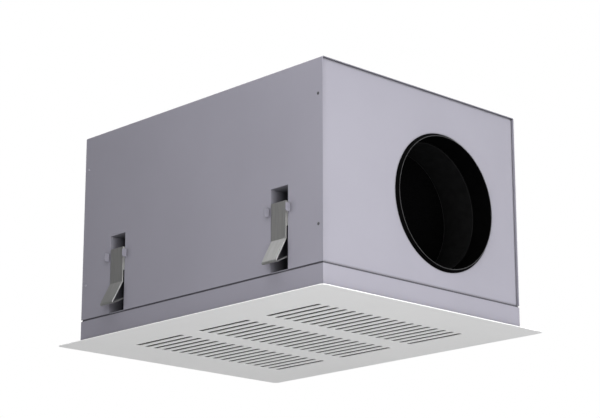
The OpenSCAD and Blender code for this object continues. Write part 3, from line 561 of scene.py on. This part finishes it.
# %% [markdown]
# ## Soft edges on the sheet metal
#
# No folded or punched sheet has knife edges: the fold is round, and paint rounds the cut. The sheets
# could be modelled anew, but their nodes already have the right form. So a copy of each visible sheet
# node is merged into one skin, its flat faces are joined, and a Bevel modifier softens what is left. The
# copy then stands for the node, while the node stays in the frame for the motion.

# %% Helpers for soft edges
MERGE = 0.002 * MM
FLAT = math.radians(0.5)
SHARP = math.radians(40)
SMOOTH = math.radians(32)
EDGE_STEPS = 2


def smooth_curves(piece):
    take(piece)
    bpy.ops.object.shade_smooth_by_angle(angle=SMOOTH)


def soften(piece, edge):
    """Round the sharp edges of a piece and shade its curves smooth."""
    apply(piece, "BEVEL", width=edge, segments=EDGE_STEPS, limit_method="ANGLE", angle_limit=SHARP)
    smooth_curves(piece)
    apply(piece, "WEIGHTED_NORMAL", keep_sharp=True)


def seat(piece, body, slot, *stands_for):
    """Give a piece its body, if it rides on one, the finish of its slot, and hide the nodes it stands for.
    """
    piece.data.materials.clear()
    piece.data.materials.append(finishes[slot])
    if body:
        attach(piece, body)
    if stands_for:
        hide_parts(*stands_for)


def softened_copy(node, edge):
    piece = bpy.data.objects.new(node + "_skin", nodes[node].data.copy())
    bpy.context.collection.objects.link(piece)
    take(piece)
    bpy.ops.mesh.customdata_custom_splitnormals_clear()
    mode("EDIT")
    bpy.ops.mesh.select_all(action="SELECT")
    bpy.ops.mesh.remove_doubles(threshold=MERGE)
    bpy.ops.mesh.dissolve_limited(angle_limit=FLAT)
    mode("OBJECT")
    soften(piece, edge)
    seat(piece, body_of[node], slot_of[node], node)
    return piece


print("soft edge helpers ready")

# %% [markdown]
# ### The sheets
#
# Casing, end panels, collar, lugs, pins and pockets all get the same small edge, about as wide as the
# paint film makes it on the real sheet. The end panels take a narrower band of painted corner shade than
# the shell, and the lugs take a lighter grey without it, as painted light, so these take paints of their
# own.

# %% The sheets
sheet_edge = 0.3 * MM
clip_numbers = range(1, 5)
soft_nodes = ["casing_shell", "duct_end_panel", "rear_end_panel", "collar_frame"]
soft_nodes += ["guide_lugs", "clip_pins"] + [f"clip_pocket_{i}" for i in clip_numbers]
# End panels get a narrower painted corner shade, the lugs the lighter grey as painted light.
own_paint = {"duct_end_panel": "end_paint", "rear_end_panel": "end_paint", "guide_lugs": "lit_casing_paint"}
skins = {name: softened_copy(name, sheet_edge) for name in soft_nodes}
for name, paint in own_paint.items():
    skins[name].data.materials[0] = finishes[paint]
for name, skin in skins.items():
    print(name, "->", len(skin.data.polygons), "faces")

# %% [markdown]
# ### Lips beside the end panels
#
# The end panels sit a little inside the shell, so a narrow lip of each long side stands out beside them.
# The lips take the same lighter grey without corner shade, as painted light on strips that stay in
# shade. Each is the end of a long inner face, and a finish covers whole faces only. So two cuts part the
# lips off first.

# %% Lips beside the end panels
FACING = 0.9
NEAR = 0.05 * MM
shell = skins["casing_shell"]
_, panel_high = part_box("duct_end_panel")


def second_finish(piece, finish, test):
    """Give the faces that pass a test another finish."""
    take(piece)
    piece.data.materials.append(finishes[finish])
    piece.active_material_index = len(piece.data.materials) - 1
    mode("EDIT")
    pick(piece, "FACE", test)
    bpy.ops.object.material_slot_assign()
    mode("OBJECT")


def inner_side(face):
    return abs(face.normal.y) > FACING and abs(abs(face.center.y) - panel_high.y) < NEAR


take(shell)
mode("EDIT")
for end in (-1, 1):
    pick(shell, "FACE", inner_side)
    bpy.ops.mesh.bisect(plane_co=(end * panel_high.x, 0, 0), plane_no=(1, 0, 0))
mode("OBJECT")
# The lips get the lighter grey: painted light.
second_finish(shell, "lit_casing_paint", lambda face: inner_side(face) and abs(face.center.x) > panel_high.x)
print("lips:", sum(face.material_index for face in shell.data.polygons), "faces")

# %% [markdown]
# ## Spring clips
#
# Each clip is a strip of dull steel, blanked with two cheeks and bent over. The cheeks and the cut edges
# face sideways and are much brighter than the rolled face: partly the bare metal that the shear lays
# open, partly a painted highlight. Wear could be painted on, but here the direction of a face says it
# all: what looks along X takes a second finish. The lip under the tip stays dull, so a cut through the
# sides parts it off first.

# %% Spring clips
tip_y = 228.5 * MM
tip_z = 48.3 * MM
for i in clip_numbers:
    clip = softened_copy(f"clip_{i}", sheet_edge)
    side = math.copysign(1, clip.data.vertices[0].co.y)
    take(clip)
    mode("EDIT")
    pick(clip, "FACE", lambda face: abs(face.normal.x) > FACING)
    bpy.ops.mesh.bisect(plane_co=(0, side * tip_y, tip_z), plane_no=(0, side, 1))
    mode("OBJECT")
    # Faces looking along X get the bright steel: partly bare cut metal, partly painted highlight.
    second_finish(
        clip, "cut_steel_highlight",
        lambda face: abs(face.normal.x) > FACING and side * face.center.y + face.center.z > tip_y + tip_z,
    )
    print(clip.name, "->", len(clip.data.polygons), "faces")

# %% [markdown]
# ## Clip springs
#
# The torsion spring behind each clip is one wire. It could be a curve with a round section, but the Screw
# modifier needs only the section: a small circle beside the pin, wound along the pin into five and a
# quarter turns. The two ends are then drawn out straight: one leg to the back of the pocket, one down
# behind the clip.

# %% One clip spring
clip_x = 182.3 * MM
face_y = -207 * MM
pivot_y = face_y + 6.6 * MM
pivot_z = 128.3 * MM
wire_r = 0.7 * MM
wire_sides = 10
coil_r = 4.1 * MM
coil_w = 11.55 * MM
coil_turns = 5.25
turn_steps = 20
coil_steps = round(turn_steps * coil_turns)
leg_steps = 6
back_leg = Vector((0, 27.4 * MM, 0))
front_leg = Vector((0, -1.5 * MM, -30 * MM))


def tidy(piece):
    """Merge doubled points and turn every face outwards."""
    take(piece)
    mode("EDIT")
    bpy.ops.mesh.select_all(action="SELECT")
    bpy.ops.mesh.remove_doubles(threshold=MERGE)
    bpy.ops.mesh.normals_make_consistent(inside=False)
    mode("OBJECT")


bpy.ops.object.select_all(action="DESELECT")
bpy.ops.mesh.primitive_circle_add(
    vertices=wire_sides, radius=wire_r, location=(-clip_x, pivot_y, pivot_z), rotation=(QUARTER, 0, 0)
)
spring = bpy.context.object
spring.name = spring.data.name = "clip_spring_1_wire"
bpy.ops.object.transform_apply(location=False, rotation=True, scale=True)
mode("EDIT")
bpy.ops.mesh.select_all(action="SELECT")
bpy.ops.transform.translate(value=(-coil_w / 2, 0, coil_r))
mode("OBJECT")
apply(
    spring, "SCREW", axis="X", angle=coil_turns * math.tau, screw_offset=coil_w,
    steps=coil_steps, render_steps=coil_steps,
)
bpy.ops.object.transform_apply(location=True, rotation=True, scale=True)
last = len(spring.data.vertices) - wire_sides
mode("EDIT")
for first, leg in ((0, back_leg), (last, front_leg)):
    pick(spring, "VERT", lambda v: first <= v.index < first + wire_sides)
    for step in range(leg_steps):
        bpy.ops.mesh.extrude_region_move(TRANSFORM_OT_translate={"value": leg / leg_steps})
    bpy.ops.mesh.edge_face_add()
mode("OBJECT")
tidy(spring)
smooth_curves(spring)
print("spring:", len(spring.data.polygons), "faces")

# %% [markdown]
# ### Four springs
#
# The other three springs are copies of the first, mirrored on the far side. A spring could ride on the
# casing or on its clip, but then one of its legs would tear off. So here the springs ride on neither body
# and stay where they are.

# %% Four springs
clip_corners = [(-1, -1), (1, -1), (1, 1), (-1, 1)]


def copied(piece, name, shift, mirrored):
    """A copy with its own mesh, moved along, and mirrored to the other long side if asked."""
    twin = bpy.data.objects.new(name, piece.data.copy())
    bpy.context.collection.objects.link(twin)
    take(twin)
    mode("EDIT")
    bpy.ops.mesh.select_all(action="SELECT")
    bpy.ops.transform.translate(value=shift)
    if mirrored:
        bpy.ops.transform.resize(value=(1, -1, 1), center_override=(0, 0, 0))
        bpy.ops.mesh.flip_normals()
    mode("OBJECT")
    return twin


springs = [spring]
for i, (sx, sy) in enumerate(clip_corners[1:], 2):
    springs.append(copied(spring, f"clip_spring_{i}_wire", ((sx + 1) * clip_x, 0, 0), sy > 0))
for i, (wire, (sx, sy)) in enumerate(zip(springs, clip_corners), 1):
    seat(wire, None, "spring_steel", f"clip_spring_{i}")
    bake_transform(wire)
print("springs:", len(springs))

# %% [markdown]
# ## Face plate
#
# The plate is one punched sheet with three columns of eighteen slots. The slots could be cut by Boolean
# modifiers, but those leave long thin faces. So one slot is drawn as a circle pulled apart into two round
# ends, and a frame of sheet is drawn out from it up to half the distance to its neighbours.

# %% One slot and its frame
slot_l = 112 * MM
slot_w = 8 * MM
slot_sides = 32
slot_pitch = 17.4 * MM
column_pitch = 148.4 * MM
half_side = math.pi / slot_sides
bpy.ops.object.select_all(action="DESELECT")
bpy.ops.mesh.primitive_circle_add(
    vertices=slot_sides, radius=slot_w / 2 / math.cos(half_side), rotation=(0, 0, half_side)
)
plate = bpy.context.object
plate.name = plate.data.name = "face_plate_sheet"
bpy.ops.object.transform_apply(location=True, rotation=True, scale=True)
mode("EDIT")
for side in (-1, 1):
    pick(plate, "VERT", lambda v: v.co.x * side > 0)
    bpy.ops.transform.translate(value=(side * (slot_l - slot_w) / 2, 0, 0))
bpy.ops.mesh.select_all(action="SELECT")
bpy.ops.mesh.extrude_region_move()
bpy.ops.transform.resize(value=(1, slot_pitch / slot_w, 1), center_override=(0, 0, 0))
for side in (-1, 1):
    pick(plate, "VERT", lambda v: v.index >= slot_sides and v.co.x * side > 0)
    bpy.ops.transform.resize(value=(0, 1, 1), center_override=(side * column_pitch / 2, 0, 0))
mode("OBJECT")
print("one slot:", len(plate.data.polygons), "faces")

# %% [markdown]
# ### The field of slots
#
# Two Array modifiers repeat the framed slot, first into a column and then into three, and merge where the
# frames meet. Copies in a loop would do the same, but the modifier keeps it one mesh.

# %% The field of slots
plate_low, plate_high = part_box("face_plate")
slot_rows = 18
slot_columns = 3
for step, count in (((0, slot_pitch, 0), slot_rows), ((column_pitch, 0, 0), slot_columns)):
    apply(
        plate, "ARRAY", count=count, use_relative_offset=False, use_constant_offset=True,
        constant_offset_displace=step, use_merge_vertices=True, merge_threshold=NEAR,
    )
field_x = slot_columns * column_pitch / 2
field_y = slot_rows * slot_pitch / 2
mode("EDIT")
bpy.ops.mesh.select_all(action="SELECT")
bpy.ops.mesh.remove_doubles(threshold=NEAR)
bpy.ops.transform.translate(value=(column_pitch / 2 - field_x, slot_pitch / 2 - field_y, plate_low.z))
mode("OBJECT")
print("field:", slot_rows * slot_columns, "slots,", len(plate.data.polygons), "faces")

# %% [markdown]
# ### Border of the plate
#
# The rim of the field is drawn out to the size of the plate. The corners could be drawn as arcs, but a
# bevel of the four corner points rounds them in one step. Points that would lie in a round corner are
# dissolved before it, and so is the edge that runs into each corner.

# %% Border of the plate
plate_corner = 8 * MM
corner_room = 1.3 * plate_corner
corner_steps = 8


def apart(value, size):
    """How far a place, on either side of the middle, lies from a size."""
    return abs(abs(value) - size)


def at_corner(v, x, y):
    return apart(v.co.x, x) < NEAR and apart(v.co.y, y) < NEAR


def into_corner(edge):
    """Whether an edge runs from a corner of the field to the corner of the plate."""
    ends = [plate.data.vertices[k] for k in edge.vertices]
    return (any(at_corner(v, field_x, field_y) for v in ends)
            and any(at_corner(v, plate_high.x, plate_high.y) for v in ends))


take(plate)
mode("EDIT")
pick(plate, "VERT", lambda v: apart(v.co.x, field_x) < NEAR or apart(v.co.y, field_y) < NEAR)
bpy.ops.mesh.extrude_region_move()
border = (plate_high.x / field_x, plate_high.y / field_y, 1)
bpy.ops.transform.resize(value=border, center_override=(0, 0, 0))
pick(
    plate, "VERT",
    lambda v: apart(v.co.x, plate_high.x) < NEAR and NEAR < plate_high.y - abs(v.co.y) < corner_room,
)
bpy.ops.mesh.dissolve_verts()
pick(plate, "EDGE", into_corner)
bpy.ops.mesh.dissolve_edges(use_verts=False)
pick(plate, "VERT", lambda v: at_corner(v, plate_high.x, plate_high.y))
bpy.ops.mesh.bevel(offset=plate_corner, segments=corner_steps, affect="VERTICES")
mode("OBJECT")
print("with border:", len(plate.data.polygons), "faces")

# %% [markdown]
# ### Thickness and edges of the plate
#
# A Solidify modifier gives the sheet its thickness upwards from the visible face, so the face itself
# stays where it is. The cut edge of the border is painted a little whiter than the flat face, a painted
# highlight along the rim.

# %% Thickness and edges of the plate
plate_soft_edge = 0.12 * MM
LEVEL = 0.8


def on_rim(face):
    beyond = max(abs(face.center.x) - field_x, abs(face.center.y) - field_y)
    return abs(face.normal.z) < LEVEL and beyond > plate_corner


if plate.data.polygons[0].normal.z > 0:
    mode("EDIT")
    bpy.ops.mesh.select_all(action="SELECT")
    bpy.ops.mesh.flip_normals()
    mode("OBJECT")
apply(plate, "SOLIDIFY", thickness=plate_high.z - plate_low.z, offset=-1)
tidy(plate)
soften(plate, plate_soft_edge)
seat(plate, "front", "plate_paint", "face_plate")
# The rim takes the whiter coat: a painted highlight.
second_finish(plate, "plate_rim_highlight", on_rim)
print("face plate:", len(plate.data.polygons), "faces")

# %% [markdown]
# ## Turned pieces
#
# Socket, rivets and gland are round about an axis. The Spin operator could turn a profile, but its seam
# and poles would have to be closed afterwards. So a circle is drawn out from station to station, each a
# place along the axis and a radius, as on a lathe.

# %% Helper for turned pieces
AXES = "XYZ"


def turned(name, hub, axis, outline, sides, closed=False):
    """A turned piece from its outline in millimetres; a closed outline ends where it starts."""
    along = Vector([float(axis == a) for a in AXES])
    facing = {"X": (0, QUARTER, 0), "Y": (QUARTER, 0, 0)}[axis]
    stations = [(place * MM, radius * MM) for place, radius in outline]
    place, radius = stations[0]
    bpy.ops.object.select_all(action="DESELECT")
    bpy.ops.mesh.primitive_circle_add(
        vertices=sides, radius=radius, location=Vector(hub) + along * place, rotation=facing
    )
    piece = bpy.context.object
    piece.name = piece.data.name = name
    bpy.ops.object.transform_apply(location=True, rotation=True, scale=True)
    mode("EDIT")
    bpy.ops.mesh.select_mode(type="EDGE")
    bpy.ops.mesh.select_all(action="SELECT")
    for (x0, r0), (x1, r1) in zip(stations, stations[1:]):
        bpy.ops.mesh.extrude_region_move(TRANSFORM_OT_translate={"value": along * (x1 - x0)})
        grown = [1 if axis == a else r1 / r0 for a in AXES]
        bpy.ops.transform.resize(value=grown, center_override=hub)
    if not closed:
        bpy.ops.mesh.edge_face_add()
        bpy.ops.mesh.select_all(action="DESELECT")
        bpy.ops.mesh.select_non_manifold()
        bpy.ops.mesh.edge_face_add()
    mode("OBJECT")
    tidy(piece)
    return piece


print("lathe ready")

# %% [markdown]
# ## Duct socket
#
# The socket is moulded round its axis. Its outline runs along the bore to the thin mouth, down the
# sloping bead to the panel, back along the sleeve, and forward again through the throat. The mouth's edge
# is painted lighter than the rest, a painted highlight where the rim catches the light, and the throat
# keeps a paler mould texture, so both take a finish of their own.

# %% Duct socket
port_y = 46.6 * MM
port_z = 172.3 * MM
socket_sides = 128
mouth_x = 271.15 * MM
throat_x = 236.3 * MM
throat_r = 98 * MM
socket_outline = [
    (236.5, 100), (271.1, 100), (271.5, 100.3), (271.5, 100.7), (271.3, 100.95), (266.8, 104.7),
    (266.5, 104.9), (266.5, 102.7), (178.5, 102.7), (178.5, 97.5), (236, 97.5), (236.5, 98), (236.5, 100),
]


def in_throat(face):
    reach = math.hypot(face.center.y - port_y, face.center.z - port_z)
    return face.center.x < throat_x and reach < throat_r


socket = turned("duct_socket", (0, port_y, port_z), "X", socket_outline, socket_sides, closed=True)
smooth_curves(socket)
apply(socket, "WEIGHTED_NORMAL", keep_sharp=True)
seat(socket, "casing", "black_plastic", "duct_collar")
# The mouth takes the lighter black: a painted highlight.
second_finish(socket, "socket_mouth_highlight", lambda face: face.center.x > mouth_x)
second_finish(socket, "socket_throat", in_throat)
print("duct socket:", len(socket.data.polygons), "faces")

# %% [markdown]
# ## Filter disc
#
# A disc of open foam closes the throat. A plain disc would look like a plate, because cut foam has an
# uneven face. So a flat fan is divided finely and drawn out to its thickness, and a Displace modifier
# with a cloud pattern roughens it. The fan starts smaller by the depth of that, so that the foam stays in
# its place.

# %% Filter disc
disc_low, disc_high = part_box("outdoor_filter")
disc_r = (disc_high.y - disc_low.y) / 2
disc_t = disc_high.x - disc_low.x
disc_sides = 64
disc_cuts = 7
foam_depth = 0.8 * MM
foam_cloud = 5 * MM
bpy.ops.object.select_all(action="DESELECT")
bpy.ops.mesh.primitive_circle_add(
    vertices=disc_sides, radius=disc_r - foam_depth, fill_type="TRIFAN", rotation=(0, QUARTER, 0),
    location=(disc_low.x + foam_depth, port_y, port_z),
)
disc = bpy.context.object
disc.name = disc.data.name = "filter_disc"
bpy.ops.object.transform_apply(location=True, rotation=True, scale=True)
mode("EDIT")
bpy.ops.mesh.select_all(action="SELECT")
bpy.ops.mesh.subdivide(number_cuts=disc_cuts)
bpy.ops.mesh.extrude_region_move(TRANSFORM_OT_translate={"value": (disc_t - 2 * foam_depth, 0, 0)})
mode("OBJECT")
tidy(disc)
clouds = bpy.data.textures.new("foam_clouds", "CLOUDS")
clouds.noise_scale = foam_cloud
apply(disc, "DISPLACE", texture=clouds, strength=foam_depth, mid_level=0.5, texture_coords="LOCAL")
smooth_curves(disc)
seat(disc, "casing", "black_foam", "outdoor_filter")
print("filter disc:", len(disc.data.polygons), "faces")

# %% [markdown]
# ## Blind rivets
#
# Eight blind rivets hold the long sides to the end panels. Each is a low dome with a small pit where the
# pulled pin broke off, and a bulb behind the sheet. One is turned, and the others are copies. Those of the
# duct end stay bare steel, and the rear ones take a grey lighter than the casing's, a painted highlight on
# their domes.

# %% Blind rivets
rivet_x = 261 * MM
rivet_low = 95.1 * MM
rivet_rise = 189.2 * MM
rivet_sides = 24
rivet_outline = [
    (2.7, 0.9), (2.7, 1.9), (2.4, 2.2), (2, 2), (0, 2), (0, 2.2), (-0.2, 2.15), (-0.5, 1.75),
    (-0.68, 1.2), (-0.6, 0.95), (-0.35, 0.85), (-0.3, 0.3),
]
first_rivet = turned("rivet_1", (-rivet_x, face_y, rivet_low), "Y", rivet_outline, rivet_sides)
smooth_curves(first_rivet)
rivets = [first_rivet]
places = [(side, end, rise) for side in (-1, 1) for end in (-1, 1) for rise in (0, rivet_rise)]
for side, end, rise in places[1:]:
    shift = ((end + 1) * rivet_x, 0, rise)
    rivets.append(copied(first_rivet, f"rivet_{len(rivets) + 1}", shift, side > 0))
for rivet, (_, end, _) in zip(rivets, places):
    seat(rivet, "casing", "rivet_steel", "casing_rivets")
    # The rear rivets' lighter grey is a painted highlight.
    if end < 0:
        rivet.data.materials[0] = finishes["rivet_highlight_grey"]
print("rivets:", len(rivets))

# %% [markdown]
# ## Cable gland
#
# The gland on the rear end has a cap with grip ribs and a hexagon for the spanner. The body is turned
# with its bore. The ribs could be set on one by one, but drawing out every second face of the cap makes
# them all at once.

# %% Gland body
gland_y = -130 * MM
gland_z = 285.3 * MM
gland_sides = 48
grip_x = -276 * MM
grip_near = 2 * MM
thread_r = 8 * MM
rib_height = 0.4 * MM
gland_outline = [
    (-283.5, 5), (-257.5, 5), (-257.5, 8), (-271.5, 8), (-271.5, 8.6), (-280.5, 8.6), (-283.5, 6.5),
    (-283.5, 5),
]


def on_rib(face):
    """Whether a face is one of every second strip round the cap's grip."""
    y = face.center.y - gland_y
    z = face.center.z - gland_z
    strip = int((math.atan2(y, z) / math.tau + 1) * gland_sides)
    return abs(face.center.x - grip_x) < grip_near and math.hypot(y, z) > thread_r and strip % 2 == 0


gland = turned("cable_gland_cap", (0, gland_y, gland_z), "X", gland_outline, gland_sides, closed=True)
take(gland)
mode("EDIT")
pick(gland, "FACE", on_rib)
bpy.ops.mesh.extrude_faces_move(TRANSFORM_OT_shrink_fatten={"value": rib_height})
mode("OBJECT")
print("gland body:", len(gland.data.polygons), "faces")

# %% [markdown]
# ### Spanner hexagon
#
# The hexagon is a six-sided cylinder with the thread's hole cut through it by a Boolean modifier, which
# is the shortest way to one clean hole. The drill is a little thinner than the thread, so the two hold
# together without a gap. Body and hexagon become one piece, and its edges are softened.

# %% Spanner hexagon
hexagon_x = -269 * MM
hexagon_r = 12 * MM
hexagon_t = 5 * MM
drill_r = thread_r - 0.1 * MM
drill_l = 4 * hexagon_t
gland_edge = 0.25 * MM


def round_bar(sides, radius, length):
    bpy.ops.object.select_all(action="DESELECT")
    bpy.ops.mesh.primitive_cylinder_add(
        vertices=sides, radius=radius, depth=length, rotation=(0, QUARTER, 0),
        location=(hexagon_x, gland_y, gland_z),
    )
    bpy.ops.object.transform_apply(location=True, rotation=True, scale=True)
    return bpy.context.object


drill = round_bar(gland_sides, drill_r, drill_l)
hexagon = round_bar(6, hexagon_r, hexagon_t)
apply(hexagon, "BOOLEAN", object=drill, operation="DIFFERENCE", solver="EXACT")
bpy.data.objects.remove(drill)
take(gland)
hexagon.select_set(True)
bpy.ops.object.join()
soften(gland, gland_edge)
seat(gland, "casing", "black_plastic", "cable_gland")
gland.data.materials[0] = finishes["dark_plastic"]
print("cable gland:", len(gland.data.polygons), "faces")
